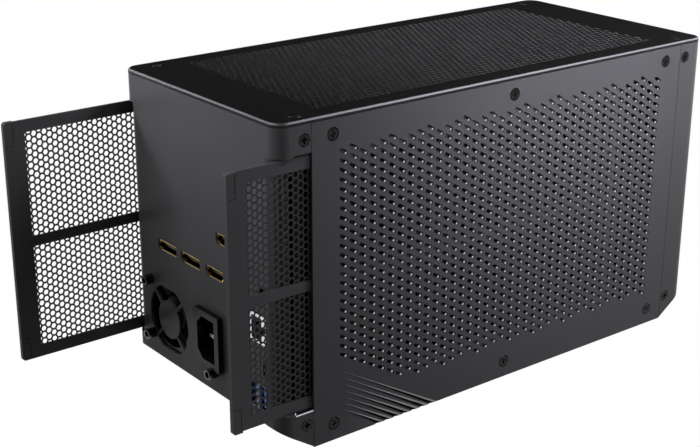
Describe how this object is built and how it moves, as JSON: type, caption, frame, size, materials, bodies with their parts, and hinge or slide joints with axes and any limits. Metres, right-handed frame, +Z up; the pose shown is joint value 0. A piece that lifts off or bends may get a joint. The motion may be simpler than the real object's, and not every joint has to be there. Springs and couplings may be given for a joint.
{
  "type": "external graphics card enclosure",
  "caption": "Oblong metal enclosure for an external graphics card, with perforated side panels, pull-out dust filters, rear video sockets, mains inlet and fans.",
  "frame": {"origin": "on the surface that the feet stand on, under the middle of the whole object as it stands at rest, with its dust filters drawn out; the middle of the housing is 35.5 mm ahead of it", "axes": "+X out of the side that is right of the ports as seen in the picture, -Y out of the rear face with the ports, +Z up"},
  "size_m": [0.141, 0.373, 0.175],
  "materials": {
    "top_metal": "black coated aluminium, satin, with a polished bevel",
    "housing_metal": "dark grey coated steel, satin",
    "panel_metal": "dark grey coated steel, satin",
    "frame_metal": "black coated steel, matt",
    "filter_plastic": "moulded black plastic, matt",
    "screw_metal": "blackened steel, satin",
    "foot_rubber": "moulded black rubber",
    "supply_metal": "black coated steel, matt",
    "fan_plastic": "moulded black plastic",
    "rotor_plastic": "moulded black plastic",
    "inlet_plastic": "moulded black plastic, satin",
    "pin_metal": "plated brass, bright",
    "gold_metal": "gold plated shell, bright",
    "contact_plastic": "moulded black plastic",
    "board_laminate": "green board laminate, semi-matt",
    "port_metal": "plated steel shell, bright",
    "blue_plastic": "moulded blue plastic, satin",
    "radiator_metal": "black coated aluminium, matt",
    "pump_plastic": "moulded black plastic, satin",
    "hose_rubber": "black rubber hose, matt"
  },
  "bodies": {
    "housing": {"top_plate": "top_metal", "rear_cover": "housing_metal", "front_cover": "housing_metal", "bottom_plate": "housing_metal", "side_panel_right": "panel_metal", "side_panel_left": "panel_metal", "chassis_frame": "frame_metal", "fan_plate": "frame_metal", "top_screws": "screw_metal", "panel_screws_left": "screw_metal", "panel_screws_right": "screw_metal", "column_screws": "screw_metal", "supply_screws": "screw_metal", "rubber_foot_1": "foot_rubber", "rubber_foot_2": "foot_rubber", "rubber_foot_3": "foot_rubber", "rubber_foot_4": "foot_rubber", "power_supply_case": "supply_metal", "supply_fan_frame": "fan_plastic", "mains_inlet": "inlet_plastic", "inlet_pins": "pin_metal", "display_socket_1": "gold_metal", "display_socket_2": "gold_metal", "wide_video_socket": "gold_metal", "display_socket_3": "gold_metal", "display_socket_1_contacts": "contact_plastic", "display_socket_2_contacts": "contact_plastic", "wide_video_socket_contacts": "contact_plastic", "display_socket_3_contacts": "contact_plastic", "graphics_board": "board_laminate", "port_board": "board_laminate", "card_slot": "contact_plastic", "network_socket": "port_metal", "small_port_socket": "port_metal", "twin_port_socket": "port_metal", "twin_port_tongues": "blue_plastic", "rear_fan_frame": "fan_plastic", "front_fan_frame": "fan_plastic", "radiator": "radiator_metal", "pump_block": "pump_plastic", "coolant_hoses": "hose_rubber"},
    "right_dust_filter": {"filter_right": "filter_plastic"},
    "left_dust_filter": {"filter_left": "filter_plastic"},
    "supply_fan": {"supply_fan_rotor": "rotor_plastic"},
    "rear_fan": {"rear_fan_rotor": "rotor_plastic"},
    "front_fan": {"front_fan_rotor": "rotor_plastic"}
  },
  "joints": [
    {"name": "right_filter_slide", "type": "slide", "parent": "housing", "child": "right_dust_filter", "axis": [0, -1, 0], "range_m": [-0.0372, 0.19]},
    {"name": "left_filter_slide", "type": "slide", "parent": "housing", "child": "left_dust_filter", "axis": [0, -1, 0], "range_m": [-0.0805, 0.1467]},
    {"name": "supply_fan_spin", "type": "hinge", "parent": "housing", "child": "supply_fan", "pos_m": [-0.035, -0.104, 0.04445], "axis": [0, 1, 0], "continuous": true},
    {"name": "rear_fan_spin", "type": "hinge", "parent": "housing", "child": "rear_fan", "pos_m": [0, -0.0245, 0.159], "axis": [0, 0, 1], "continuous": true},
    {"name": "front_fan_spin", "type": "hinge", "parent": "housing", "child": "front_fan", "pos_m": [0, 0.0955, 0.159], "axis": [0, 0, 1], "continuous": true}
  ]
}
